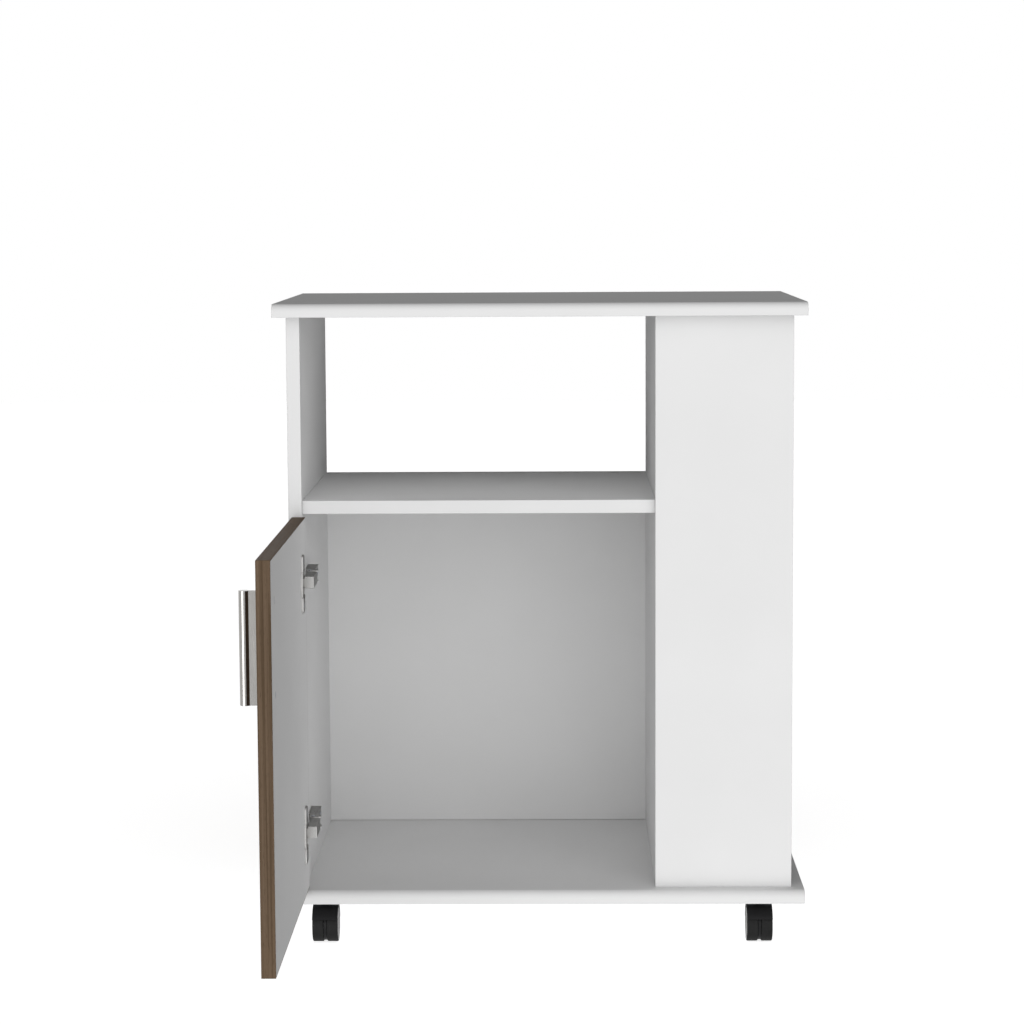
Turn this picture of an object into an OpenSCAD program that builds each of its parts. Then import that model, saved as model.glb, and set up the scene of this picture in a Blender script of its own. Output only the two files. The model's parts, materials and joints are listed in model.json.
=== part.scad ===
// Microwave cart: a laminated-board trolley with an open niche over a cupboard,
// a closed front fascia with an open side bay behind it, one inset door on two
// concealed hinges, and four twin-wheel swivel casters.
// +Z is up, the front faces -Y and the door stands open at a right angle.

/* [Boards] */
// Thickness of every laminated board
board = 15; // [13:0.5:20]
// Width of the worktop and of the base
top_w = 593; // [540:1:760]
// Depth of the worktop and of the base
top_d = 392; // [360:1:520]
// Radius of the rounded upper front edge
nose_r = 9; // [3:0.5:11]
// How far the worktop reaches past each side
side_overhang = 14; // [6:0.5:24]
// How far the worktop reaches past the front edges
front_overhang = 20.5; // [12:0.5:30]
// How far the worktop reaches past the rear edges
rear_overhang = 17; // [8:0.5:26]

/* [Layout] */
// Clear height of the cupboard
cupboard_h = 425.5; // [390:0.5:520]
// Clear height of the open niche over the cupboard
niche_h = 206.5; // [150:0.5:320]
// Width of the fascia to the right of the door
fascia_w = 154; // [130:1:200]
// Set-back of the middle shelf from the front edges
shelf_setback = 9; // [2:0.5:14]
// Thickness of the cupboard's back panel
back_t = 3; // [2.5:0.5:6]
// How far the back panel laps over the boards that it is nailed to
back_lap = 11; // [8:0.5:13]
// Height of the lower side shelf above the base
side_shelf_1 = 205; // [150:1:230]
// Height of the upper side shelf above the base
side_shelf_2 = 425; // [380:1:470]
// Gap round a loose side shelf
shelf_gap = 1; // [0.5:0.5:2]

/* [Door] */
// Gap between the closed door and the left side
door_gap_hinge = 3; // [2.5:0.5:4]
// Gap between the closed door and the fascia
door_gap_free = 4; // [2:0.5:6]
// Gap over and under the door
door_gap_end = 2; // [1.5:0.5:4]
// Thickness of the door's edge banding
band_t = 1; // [0.5:0.1:2]
// How far the open door's hinge edge stands in front of the side
door_forward = 3.5; // [3:0.1:4.5]
// How far the open door's outer face lies outside the side's inner face
door_outward = 11; // [10:0.5:12]

/* [Handle] */
// Length of the handle
handle_l = 116; // [110:1:160]
// Diameter of the handle's round bar
handle_bar_d = 11; // [8:0.5:14]
// Reach of the handle from the door's face
handle_reach = 20.8; // [17:0.1:30]
// Thickness of the handle's web
handle_web_t = 6; // [6:0.5:10]
// Distance from the door's free edge to the handle's centre line
handle_inset = 35; // [28:1:60]
// Distance from the door's top to the handle's top
handle_drop = 34.5; // [20:0.5:80]
// Distance between the two handle screws
handle_pitch = 96; // [64:1:100]
// Diameter of the handle screws
handle_screw_d = 4; // [3:0.5:4.5]

/* [Hinges] */
// Distance from the door's ends to the centres of its hinges
hinge_end = 69.5; // [50:0.5:110]
// Outer diameter of the hinge cup
cup_d = 35; // [33:0.5:36]
// Depth of the hinge cup
cup_depth = 11.5; // [10:0.1:12.5]
// Wall of the hinge cup
cup_wall = 0.9; // [0.6:0.1:1.2]
// Distance from the door's hinge edge to the cup's centre
cup_edge = 45; // [38:0.5:52]
// Height of the cup's flange
flange_h = 64; // [60:1:70]
// Width of the cup's flange
flange_w = 22; // [18:0.5:24]
// Thickness of the cup's flange
flange_t = 2.2; // [1:0.1:2.4]
// Distance between the two screws of a cup
cup_screw_pitch = 48; // [46:0.5:52]
// Height of the hinge link
link_h = 13; // [10:0.5:13.5]
// Height of the hinge arm
arm_h = 13; // [12:0.5:14]
// Thickness of the arm's cheeks
cheek_t = 1.4; // [1:0.1:1.6]
// Diameter of the hinge pin
pin_d = 3; // [2.5:0.1:3.4]
// Distance from the front edge of the side to the middle of the plate
plate_setback = 54; // [50:0.5:57]
// Distance between the two screws of a plate
plate_pitch = 30; // [30:0.5:36]

/* [Casters] */
// Diameter of the wheels
wheel_d = 40; // [36:0.5:42]
// Overall width of a twin wheel
twin_w = 29; // [26:0.5:34]
// Total height of a caster with its plate
caster_h = 51; // [50:0.5:60]
// Distance from an end of the base to the nearest swivel axes
caster_inset_x = 49.5; // [46.5:0.5:96.5]
// Distance from the front or the rear of the base to the nearest swivel axes
caster_inset_y = 49; // [48:0.5:86]
// Distance from the swivel axis forward to the axle
caster_trail = 13; // [11:0.5:14]
// Side of the square caster plate
plate_w = 42; // [38:1:44]
// Thickness of the caster plate
plate_t = 2; // [1.5:0.1:2.5]
// Distance between the caster plate's screws
plate_hole_pitch = 30; // [26:0.5:32]
// Diameter of the kingpin
kingpin_d = 8; // [6:0.5:9]
// Diameter of the axle
axle_d = 6; // [4:0.5:7]
// Thickness of the rubber tread
tread_t = 1.6; // [1:0.1:3]
// Clearance between the hood and the tread
hood_gap = 0.7; // [0.5:0.1:1]
// Thickness of the hood
hood_t = 1.8; // [1.2:0.1:2]
// Width of the web between the two wheels
web_w = 3.2; // [2.5:0.1:5]
// Angle over the horizontal at which the hood ends in front
hood_front_a = 24; // [10:1:40]

/* [Fasteners] */
// Radial clearance of a running fit
run_fit = 0.05; // [0.03:0.01:0.1]
// Radial clearance of a screw, dowel or cam in its hole
screw_fit = 0.1; // [0.05:0.01:0.2]
// Diameter of the wooden dowels
dowel_d = 8; // [6:0.5:9]
// Length of the wooden dowels
dowel_l = 30; // [20:1:34]
// Diameter of the cam locks
cam_d = 15; // [12:0.5:16]
// Depth of the cam locks
cam_depth = 12; // [10:0.1:12.4]
// Distance from the joint to the centre of a cam lock
cam_set = 24; // [20:1:34]
// Thread diameter of the cam bolts
bolt_d = 5; // [4:0.5:6]
// Length of the base screws
base_screw_l = 50; // [40:1:60]
// Thread diameter of the base screws
base_screw_d = 5; // [4:0.5:6]
// Diameter of the pins under the side shelves
shelf_pin_d = 5; // [4:0.5:6]
// Length of the caster screws
caster_screw_l = 12; // [10:0.5:14]
// Diameter of the caster screws
caster_screw_d = 4; // [3:0.5:4.5]

/* [Hidden] */
$fn = 64;
eps = 0.01;

// Carcass, measured from the middle of the worktop's footprint and the floor
base_z = caster_h;
floor_z = base_z + board;
shelf_z = floor_z + cupboard_h;
niche_z = shelf_z + board;
under_z = niche_z + niche_h;
side_h = under_z - floor_z;
left_x = -top_w / 2 + side_overhang;
side_in_x = left_x + board;
right_x = top_w / 2 - side_overhang;
fascia_x = right_x - fascia_w;
front_y = -top_d / 2 + front_overhang;
rear_y = top_d / 2 - rear_overhang;
side_d = rear_y - front_y;
bay_front_y = front_y + board;
bay_rear_y = rear_y - board;
divider_x = fascia_x;
divider_out_x = divider_x + board;
side_cx = left_x + board / 2;
divider_cx = divider_x + board / 2;
front_cy = front_y + board / 2;
rear_cy = rear_y - board / 2;

// Door, open at rest
opening_w = fascia_x - side_in_x;
door_w = opening_w - door_gap_hinge - door_gap_free;
door_h = cupboard_h - 2 * door_gap_end;
door_z = floor_z + door_gap_end;
door_out_x = side_in_x - door_outward;
door_in_x = door_out_x + board;
door_y = front_y - door_forward;
door_free_y = door_y - door_w;
hinge_zs = [door_z + door_h - hinge_end, door_z + hinge_end];

// Handle
handle_y = door_free_y + handle_inset;
handle_top_z = door_z + door_h - handle_drop;
handle_mid_z = handle_top_z - handle_l / 2;
handle_bar_x = door_out_x - handle_reach + handle_bar_d / 2;
handle_screw_in = 6;
handle_head_r = 3.9;

// Hinges, in plan: the cup turns with the door and the link turns on the pin
cup_y = door_y - cup_edge;
cup_in_r = cup_d / 2 - cup_wall;
cup_floor = 1;
collar_w = 1.1;
collar_t = 1;
mesh_gap = 0.5;
link_left_x = door_in_x + collar_t + mesh_gap;
link_wide = 10.3;
link_right_x = link_left_x + link_wide;
link_r = 3.6;
hinge_pin_x = link_left_x + 1.5;
hinge_pin_y = bay_front_y + 5;
hook_half_h = link_h / 2 - 2;
hook_near = sqrt(pow(cup_in_r, 2) - pow(hook_half_h, 2)) - 0.6;
hook_t = 3;
hook_depth = 5;
hook_y = cup_y + hook_near;
link_front_y = hook_y - hook_t;
link_rear_y = hinge_pin_y - 10;
arm_half_h = arm_h / 2;
arm_inner = arm_half_h - cheek_t;
neck_half_h = arm_inner - 0.4;
arm_nose_r = 4.2;
arm_low_x = side_in_x + 11.5;
arm_web_t = 1.4;
arm_step_y = hinge_pin_y + 13;
plate_y = front_y + plate_setback;
plate_half_l = plate_pitch / 2 + 6.5;
arm_rear_y = plate_y + plate_half_l;
hinge_plate_t = 2;
rail_half_l = 9;
rail_half_h = arm_inner - 0.5;
rail_fit = 0.1;
cup_bar_r = 1.5;
cup_bar_set = 7;
cup_bar_depth = 8;
cup_screw_r = 1.75;
cup_screw_l = 10;
cup_head_r = cup_screw_r + 0.75 * flange_t;
euro_r = 3;
euro_l = 11;
euro_head_r = arm_inner - 1.2;
euro_head_h = 2;
arm_screw_r = 2;
arm_head_r = 3.6;
arm_head_h = 1.2;
arm_screw_ys = [plate_y - 5, plate_y + 5];
rivet_r = 2.4;
rivet_t = 0.7;

// Casters
wheel_r = wheel_d / 2;
hood_in_r = wheel_r + hood_gap;
hood_out_r = hood_in_r + hood_t;
side_gap = 0.3;
wheel_w = (twin_w - web_w) / 2 - side_gap;
wheel_in_x = web_w / 2 + side_gap;
hub_r = wheel_r - tread_t;
hub_rim_t = 1.6;
hub_disc_t = 2;
hub_sleeve_r = axle_d / 2 + 3;
axle_half = twin_w / 2 - 1.3;
race_t = 2.6;
race_r = 10;
race_gap = 0.3;
boss_top_z = caster_h - plate_t - race_t - race_gap;
boss_r = 8;
web_r = wheel_r - 1.5;
hood_rear_a = 8;
kingpin_end_z = 39.2 + wheel_r - 20;
caster_x = top_w / 2 - caster_inset_x;
caster_y = top_d / 2 - caster_inset_y;
casters = [
    [-caster_x, -caster_y], [caster_x, -caster_y],
    [-caster_x, caster_y], [caster_x, caster_y]
];
caster_hole_xy = [for (i = [-1, 1], j = [-1, 1]) [i, j] * plate_hole_pitch / 2];
caster_screw_head_r = 3.8;
caster_screw_head_h = 1.6;

// Fasteners of the carcass
bolt_thread_l = 9;
bolt_head_r = 3.2;
cam_channel_r = 3.6;
base_head_r = 5;
base_head_h = 3;
base_neck_r = 3.5;
fastener_in = 55;
dowel_in = 95;
bay_cam_near = 30;
bay_cam_far = 80;
bay_dowel_near = 55;
bay_dowel_far = 98;
rib_dowel_in = 120;
side_ys = [front_y + fastener_in, rear_y - fastener_in];
side_dowel_ys = [front_y + dowel_in, rear_y - dowel_in];
bay_xs = [fascia_x + bay_cam_near, fascia_x + bay_cam_far];
bay_dowel_xs = [fascia_x + bay_dowel_near, fascia_x + bay_dowel_far];
rib_dowel_zs = [floor_z + rib_dowel_in, floor_z + side_h - rib_dowel_in];

// A joint frame is [place, turn, spin]: its +Z points into the mating board
// and its +X points out of the board that carries the cam lock
top_cams = concat(
    [for (y = side_ys) [[side_cx, y, under_z], [0, 0, 0], 180]],
    [for (y = side_ys) [[divider_cx, y, under_z], [0, 0, 0], 0]],
    [for (x = bay_xs) [[x, front_cy, under_z], [0, 0, 90], 0]],
    [for (x = bay_xs) [[x, rear_cy, under_z], [0, 0, -90], 0]]
);
shelf_cz = shelf_z + board / 2;
shelf_cams = concat(
    [for (y = side_ys) [[side_in_x, y, shelf_cz], [0, -90, 0], 180]],
    [for (y = side_ys) [[divider_x, y, shelf_cz], [0, 90, 0], 0]]
);
upright_dowels_xy = concat(
    [for (y = side_dowel_ys) [side_cx, y]],
    [for (y = side_dowel_ys) [divider_cx, y]],
    [for (x = bay_dowel_xs) [x, front_cy]],
    [for (x = bay_dowel_xs) [x, rear_cy]]
);
top_dowels = [for (p = upright_dowels_xy) [[p[0], p[1], under_z], [0, 0, 0], 0]];
base_dowels = [for (p = upright_dowels_xy) [[p[0], p[1], floor_z], [180, 0, 0], 0]];
shelf_dowels = concat(
    [for (y = side_dowel_ys) [[side_in_x, y, shelf_cz], [0, -90, 0], 0]],
    [for (y = side_dowel_ys) [[divider_x, y, shelf_cz], [0, 90, 0], 0]]
);
rib_dowels = concat(
    [for (z = rib_dowel_zs) [[divider_cx, bay_front_y, z], [90, 0, 0], 0]],
    [for (z = rib_dowel_zs) [[divider_cx, bay_rear_y, z], [-90, 0, 0], 0]]
);
base_screws_xy = concat(
    [for (y = side_ys) [side_cx, y]],
    [for (y = side_ys) [divider_cx, y]],
    [for (x = bay_xs) [x, front_cy]],
    [for (x = bay_xs) [x, rear_cy]]
);

// Loose side shelves and the pins under them
side_shelf_zs = [floor_z + side_shelf_1, floor_z + side_shelf_2];
side_shelf_x = divider_out_x + shelf_gap;
side_shelf_w = right_x - side_shelf_x;
side_shelf_y = bay_front_y + shelf_gap;
side_shelf_d = bay_rear_y - shelf_gap - side_shelf_y;
shelf_pin_in = 24;
shelf_pin_out = 9;
shelf_pin_hole = 9;
shelf_pin_xs = [side_shelf_x + shelf_pin_in, right_x - shelf_pin_in];

// Back panel and its nails
back_x = left_x + board - back_lap;
back_w = divider_x + back_lap - back_x;
back_z = floor_z + 0.5;
back_h = shelf_z + back_lap - back_z;
nail_r = 0.7;
nail_l = 16;
nail_head_r = 1.8;
nail_head_t = 0.6;
nail_set = back_lap / 2;
nail_n = 6;

// The frame's origin is on the floor, under the middle of the box of the open cart
min_x = min(door_out_x - handle_reach, -top_w / 2);
origin_x = (min_x + top_w / 2) / 2;
origin_y = (door_free_y + top_d / 2) / 2;

white = "#E6E6E6";
walnut = "#64523F";
steel = "#B4B6B8";
black = "#1E1E1F";
grey = "#7C7C7C";

// ---- helpers ----

// Moves a piece from the carcass's own middle to the frame's origin
module place() {
    translate([-origin_x, -origin_y, 0]) children();
}

module at_frame(f) {
    translate(f[0]) rotate(f[1]) rotate([0, 0, f[2]]) children();
}

// A cylinder along +X that starts at x = 0
module rod_x(r, l) {
    rotate([0, 90, 0]) cylinder(r = r, h = l);
}

// A board with its rounded upper front edge, lying with its footprint on the middle
module nosed_board() {
    translate([-top_w / 2, 0, 0]) rotate([90, 0, 90]) linear_extrude(top_w)
        union() {
            translate([-top_d / 2 + nose_r, 0]) square([top_d - nose_r, board]);
            translate([-top_d / 2, 0]) square([nose_r + eps, board - nose_r]);
            intersection() {
                translate([-top_d / 2 + nose_r, board - nose_r]) circle(nose_r);
                translate([-top_d / 2, board - nose_r - eps]) square(nose_r + eps);
            }
        }
}

// ---- joinery cuts ----

// Housing and channel in the board that carries a cam lock
module cam_cut() {
    translate([board / 2 - cam_depth - screw_fit, 0, -cam_set])
        rod_x(cam_d / 2 + screw_fit, cam_depth + screw_fit + 1);
    translate([0, 0, -cam_set]) cylinder(r = cam_channel_r, h = cam_set + 1);
}

// Threaded hole in the board that the cam bolt is screwed into
module bolt_cut() {
    translate([0, 0, -1]) cylinder(r = bolt_d / 2 + screw_fit, h = bolt_thread_l + 1 + screw_fit);
}

// A dowel goes two thirds through the mating board and the rest of its length into the other
module dowel(fit, spare) {
    seat = board * 2 / 3;
    translate([0, 0, seat - dowel_l - spare])
        cylinder(r = dowel_d / 2 + fit, h = dowel_l + 2 * spare);
}

module dowel_cut() {
    dowel(screw_fit, 0.5);
}

module base_screw_cut() {
    translate([0, 0, base_z - 1]) cylinder(r = base_head_r + screw_fit, h = base_head_h + 1);
    translate([0, 0, base_z]) cylinder(r = base_neck_r + screw_fit, h = board + 1);
    translate([0, 0, base_z]) cylinder(r = base_screw_d / 2 + screw_fit, h = base_screw_l + 1);
}

module shelf_pin_cut(y, turn) {
    for (x = shelf_pin_xs, z = side_shelf_zs)
        translate([x, y, z - shelf_pin_d / 2]) rotate([turn, 0, 0])
            translate([0, 0, -1]) cylinder(r = shelf_pin_d / 2 + screw_fit, h = shelf_pin_hole + 1);
}

module nail_cuts() {
    nail_frames() cylinder(r = nail_r + screw_fit / 2, h = nail_l + 1);
}

// ---- carcass ----

module top_panel() {
    color(white) place() difference() {
        translate([0, 0, under_z]) nosed_board();
        for (f = top_cams) at_frame(f) bolt_cut();
        for (f = top_dowels) at_frame(f) dowel_cut();
    }
}

module base_panel() {
    color(white) place() difference() {
        translate([0, 0, base_z]) nosed_board();
        for (f = base_dowels) at_frame(f) dowel_cut();
        for (p = base_screws_xy) translate([p[0], p[1], 0]) base_screw_cut();
        for (c = casters, h = caster_hole_xy)
            translate([c[0] + h[0], c[1] + h[1], base_z - 1])
                cylinder(r = caster_screw_d / 2 + screw_fit, h = caster_screw_l - plate_t + 1.5);
    }
}

module left_side() {
    color(white) place() difference() {
        translate([left_x, front_y, floor_z]) cube([board, side_d, side_h]);
        for (f = top_cams) if (f[0][0] == side_cx) at_frame(f) cam_cut();
        for (f = top_dowels) if (f[0][0] == side_cx) at_frame(f) dowel_cut();
        for (f = base_dowels) if (f[0][0] == side_cx) at_frame(f) dowel_cut();
        for (f = shelf_cams) if (f[0][0] == side_in_x) at_frame(f) bolt_cut();
        for (f = shelf_dowels) if (f[0][0] == side_in_x) at_frame(f) dowel_cut();
        for (p = base_screws_xy) if (p[0] == side_cx) translate([p[0], p[1], 0]) base_screw_cut();
        for (z = hinge_zs, s = [-1, 1])
            translate([side_in_x - euro_l - screw_fit, plate_y + s * plate_pitch / 2, z])
                rod_x(euro_r + screw_fit, euro_l + 1);
        nail_cuts();
    }
}

module divider() {
    color(white) place() difference() {
        translate([divider_x, bay_front_y, floor_z]) cube([board, bay_rear_y - bay_front_y, side_h]);
        for (f = top_cams) if (f[0][0] == divider_cx) at_frame(f) cam_cut();
        for (f = top_dowels) if (f[0][0] == divider_cx) at_frame(f) dowel_cut();
        for (f = base_dowels) if (f[0][0] == divider_cx) at_frame(f) dowel_cut();
        for (f = shelf_cams) if (f[0][0] == divider_x) at_frame(f) bolt_cut();
        for (f = shelf_dowels) if (f[0][0] == divider_x) at_frame(f) dowel_cut();
        for (f = rib_dowels) at_frame(f) dowel_cut();
        for (p = base_screws_xy) if (p[0] == divider_cx) translate([p[0], p[1], 0]) base_screw_cut();
    }
}

module fascia(y, cy, joint_y) {
    difference() {
        translate([fascia_x, y, floor_z]) cube([fascia_w, board, side_h]);
        for (f = top_cams) if (f[0][1] == cy) at_frame(f) cam_cut();
        for (f = top_dowels) if (f[0][1] == cy) at_frame(f) dowel_cut();
        for (f = base_dowels) if (f[0][1] == cy) at_frame(f) dowel_cut();
        for (f = rib_dowels) if (f[0][1] == joint_y) at_frame(f) dowel_cut();
        for (p = base_screws_xy) if (p[1] == cy) translate([p[0], p[1], 0]) base_screw_cut();
        shelf_pin_cut(joint_y, joint_y == bay_front_y ? 90 : -90);
    }
}

module front_fascia() {
    color(white) place() fascia(front_y, front_cy, bay_front_y);
}

module rear_fascia() {
    color(white) place() difference() {
        fascia(bay_rear_y, rear_cy, bay_rear_y);
        nail_cuts();
    }
}

module middle_shelf() {
    y0 = front_y + shelf_setback;
    color(white) place() difference() {
        translate([side_in_x, y0, shelf_z]) cube([opening_w, rear_y - y0, board]);
        for (f = shelf_cams) at_frame(f) cam_cut();
        for (f = shelf_dowels) at_frame(f) dowel_cut();
        nail_cuts();
    }
}

module side_shelf(z) {
    color(white) place()
        translate([side_shelf_x, side_shelf_y, z]) cube([side_shelf_w, side_shelf_d, board]);
}

module back_panel() {
    color(white) place() difference() {
        translate([back_x, rear_y, back_z]) cube([back_w, back_t, back_h]);
        nail_cuts();
    }
}

// ---- door ----

module door_panel() {
    color(walnut) place() difference() {
        translate([door_out_x, door_free_y + band_t, door_z + band_t])
            cube([board, door_w - 2 * band_t, door_h - 2 * band_t]);
        for (z = hinge_zs) {
            translate([door_in_x - cup_depth - screw_fit, cup_y, z])
                rod_x(cup_d / 2 + screw_fit, cup_depth + 1);
            for (s = [-1, 1])
                translate([door_in_x - cup_screw_l - screw_fit, cup_y, z + s * cup_screw_pitch / 2])
                    rod_x(cup_screw_r + screw_fit, cup_screw_l + 1);
        }
        for (s = [-1, 1])
            translate([door_in_x, handle_y, handle_mid_z + s * handle_pitch / 2])
                sunk_cut_x(handle_screw_d / 2, handle_head_r, board + 1);
    }
}

module door_edge_band() {
    color(walnut) place() {
        for (z = [door_z, door_z + door_h - band_t])
            translate([door_out_x, door_free_y + band_t, z])
                cube([board, door_w - 2 * band_t, band_t]);
        for (y = [door_free_y, door_y - band_t])
            translate([door_out_x, y, door_z]) cube([board, band_t, door_h]);
    }
}

// A round bar on a full-length web, cut to length from one bar of stock
module handle() {
    color(steel) place() difference() {
        translate([0, 0, handle_top_z - handle_l]) linear_extrude(handle_l) union() {
            translate([handle_bar_x, handle_y]) circle(handle_bar_d / 2);
            translate([handle_bar_x, handle_y - handle_web_t / 2])
                square([door_out_x - handle_bar_x, handle_web_t]);
        }
        for (s = [-1, 1])
            translate([door_out_x - handle_screw_in - 1, handle_y, handle_mid_z + s * handle_pitch / 2])
                rod_x(handle_screw_d / 2 + run_fit, handle_screw_in + 2);
    }
}

module handle_screws() {
    color(steel) place() for (s = [-1, 1])
        translate([door_in_x, handle_y, handle_mid_z + s * handle_pitch / 2])
            sunk_screw_x(handle_screw_d / 2, handle_head_r, board + handle_screw_in);
}

// A low screw head with a cross recess, on the YZ plane and facing +X
module screw_head_x(r, h) {
    difference() {
        rotate([0, 90, 0]) rotate_extrude() polygon([[0, 0], [r, 0], [r, h * 0.4], [r * 0.72, h], [0, h]]);
        for (a = [0, 90]) rotate([a, 0, 0])
            translate([h * 0.45, -r * 0.5, -r * 0.12]) cube([h, r, r * 0.24]);
    }
}

// A countersunk screw along +X whose flat head ends at x = 0
module sunk_screw_x(r, head_r, l) {
    difference() {
        rotate([0, 90, 0]) rotate_extrude() polygon([[0, -l], [r, -l], [r, r - head_r], [head_r, 0], [0, 0]]);
        for (a = [0, 90]) rotate([a, 0, 0])
            translate([-1, -head_r * 0.5, -head_r * 0.12]) cube([2, head_r, head_r * 0.24]);
    }
}

// The hole for a countersunk screw, from x = -l to just over the surface
module sunk_cut_x(r, head_r, l) {
    wide = head_r + screw_fit;
    rotate([0, 90, 0]) rotate_extrude() polygon([
        [0, -l], [r + screw_fit, -l], [r + screw_fit, r - head_r], [wide, 0], [wide, 1], [0, 1]
    ]);
}

// ---- hinges ----

module hinge_cup(z) {
    cup_r = cup_d / 2;
    corner_r = flange_w / 4;
    chord = sqrt(pow(cup_in_r, 2) - pow(cup_bar_set, 2)) + cup_wall / 2;
    color(steel) place() translate([door_in_x, cup_y, z]) {
        difference() {
            union() {
                translate([-cup_depth, 0, 0]) rod_x(cup_r, cup_depth + eps);
                difference() {
                    rod_x(cup_r + collar_w, flange_t);
                    translate([collar_t, 0, -cup_d]) cube([flange_t, cup_d, 2 * cup_d]);
                }
                translate([0, -flange_w / 2, -flange_h / 2 + corner_r])
                    cube([flange_t, flange_w, flange_h - 2 * corner_r]);
                translate([0, -flange_w / 2 + corner_r, -flange_h / 2])
                    cube([flange_t, flange_w - 2 * corner_r, flange_h]);
                for (y = [-1, 1], s = [-1, 1])
                    translate([0, y * (flange_w / 2 - corner_r), s * (flange_h / 2 - corner_r)])
                        rod_x(corner_r, flange_t);
            }
            translate([-cup_depth + cup_floor, 0, 0]) rod_x(cup_in_r, cup_depth + flange_t + 1);
            for (s = [-1, 1]) translate([flange_t, 0, s * cup_screw_pitch / 2])
                sunk_cut_x(cup_screw_r, cup_head_r, flange_t + 1);
        }
        translate([-cup_bar_depth, cup_bar_set, -chord]) cylinder(r = cup_bar_r, h = 2 * chord);
    }
}

// The goose-neck link: a neck on the pin, a block that runs forward and a hook into the cup
module hinge_link(z) {
    color(steel) place() translate([0, 0, z]) difference() {
        union() {
            translate([link_left_x, link_front_y, -link_h / 2])
                cube([link_wide, link_rear_y - link_front_y, link_h]);
            translate([0, 0, -neck_half_h]) linear_extrude(2 * neck_half_h) union() {
                translate([hinge_pin_x, hinge_pin_y]) circle(link_r);
                polygon([
                    [hinge_pin_x + link_r, hinge_pin_y], [link_right_x - 1, link_rear_y - 1],
                    [link_left_x + 1, link_rear_y - 1], [hinge_pin_x - 1, hinge_pin_y]
                ]);
            }
            translate([door_in_x - hook_depth, link_front_y, -hook_half_h])
                cube([link_left_x - door_in_x + hook_depth + eps, hook_t, 2 * hook_half_h]);
        }
        translate([hinge_pin_x, hinge_pin_y, -link_h]) cylinder(r = pin_d / 2 + run_fit, h = 2 * link_h);
    }
}

// The arm: two cheeks that carry the pin, joined by a web behind the nose
module hinge_arm(z) {
    foot_x = side_in_x + hinge_plate_t + 0.3;
    color(steel) place() translate([0, 0, z]) difference() {
        union() {
            for (s = [-1, 1]) translate([0, 0, s > 0 ? arm_inner : -arm_half_h])
                linear_extrude(cheek_t) union() {
                    translate([hinge_pin_x, hinge_pin_y]) circle(arm_nose_r);
                    polygon([
                        [hinge_pin_x, hinge_pin_y - arm_nose_r],
                        [link_right_x, hinge_pin_y - arm_nose_r + 1.2],
                        [link_right_x, hinge_pin_y + 6],
                        [arm_low_x, arm_step_y], [arm_low_x, arm_rear_y],
                        [foot_x, arm_rear_y], [foot_x, arm_step_y],
                        [hinge_pin_x - arm_nose_r, hinge_pin_y]
                    ]);
                }
            translate([arm_low_x - arm_web_t, arm_step_y, -arm_half_h])
                cube([arm_web_t, arm_rear_y - arm_step_y, 2 * arm_half_h]);
        }
        translate([hinge_pin_x, hinge_pin_y, -arm_half_h - 1])
            cylinder(r = pin_d / 2 + run_fit, h = 2 * arm_half_h + 2);
        for (y = arm_screw_ys) translate([arm_low_x - arm_web_t - 1, y, 0])
            rod_x(arm_screw_r + screw_fit, arm_web_t + 2);
    }
}

// The straight plate on the side panel, with the rail that the arm is clamped to
module hinge_plate(z) {
    rail_top_x = arm_low_x - arm_web_t - rail_fit;
    color(steel) place() translate([0, 0, z]) difference() {
        union() {
            translate([side_in_x, plate_y - plate_half_l, -arm_half_h])
                cube([hinge_plate_t, 2 * plate_half_l, 2 * arm_half_h]);
            translate([side_in_x, plate_y - rail_half_l, -rail_half_h])
                cube([rail_top_x - side_in_x, 2 * rail_half_l, 2 * rail_half_h]);
        }
        for (s = [-1, 1]) translate([side_in_x - 1, plate_y + s * plate_pitch / 2, 0])
            rod_x(euro_r + screw_fit, hinge_plate_t + 2);
        for (y = arm_screw_ys) translate([side_in_x + 1, y, 0])
            rod_x(arm_screw_r + screw_fit, rail_top_x - side_in_x);
    }
}

module hinge_pins() {
    l = 2 * (arm_half_h + rivet_t);
    color(steel) place() for (z = hinge_zs) translate([hinge_pin_x, hinge_pin_y, z]) {
        translate([0, 0, -l / 2]) cylinder(r = pin_d / 2, h = l);
        for (s = [-1, 1]) translate([0, 0, s > 0 ? arm_half_h + eps : -arm_half_h - rivet_t - eps])
            cylinder(r = rivet_r, h = rivet_t);
    }
}

module hinge_cup_screws() {
    color(steel) place() for (z = hinge_zs, s = [-1, 1])
        translate([door_in_x + flange_t, cup_y, z + s * cup_screw_pitch / 2])
            sunk_screw_x(cup_screw_r, cup_head_r, cup_screw_l + flange_t);
}

module hinge_plate_screws() {
    color(steel) place() for (z = hinge_zs) {
        for (s = [-1, 1]) translate([side_in_x - euro_l, plate_y + s * plate_pitch / 2, z]) {
            rod_x(euro_r, euro_l + hinge_plate_t + eps);
            translate([euro_l + hinge_plate_t, 0, 0]) screw_head_x(euro_head_r, euro_head_h);
        }
        for (y = arm_screw_ys) translate([side_in_x + 1.2, y, z]) {
            rod_x(arm_screw_r, arm_low_x - side_in_x - 1.2 + eps);
            translate([arm_low_x - side_in_x - 1.2, 0, 0]) screw_head_x(arm_head_r, arm_head_h);
        }
    }
}

// ---- casters: i picks one of the four, and a twin wheel has side -1 and side 1 ----

module at_caster(i) {
    place() translate([casters[i][0], casters[i][1], 0]) children();
}

// Places children on the axle of a caster
module at_axle(i) {
    at_caster(i) translate([0, -caster_trail, wheel_r]) children();
}

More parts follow.
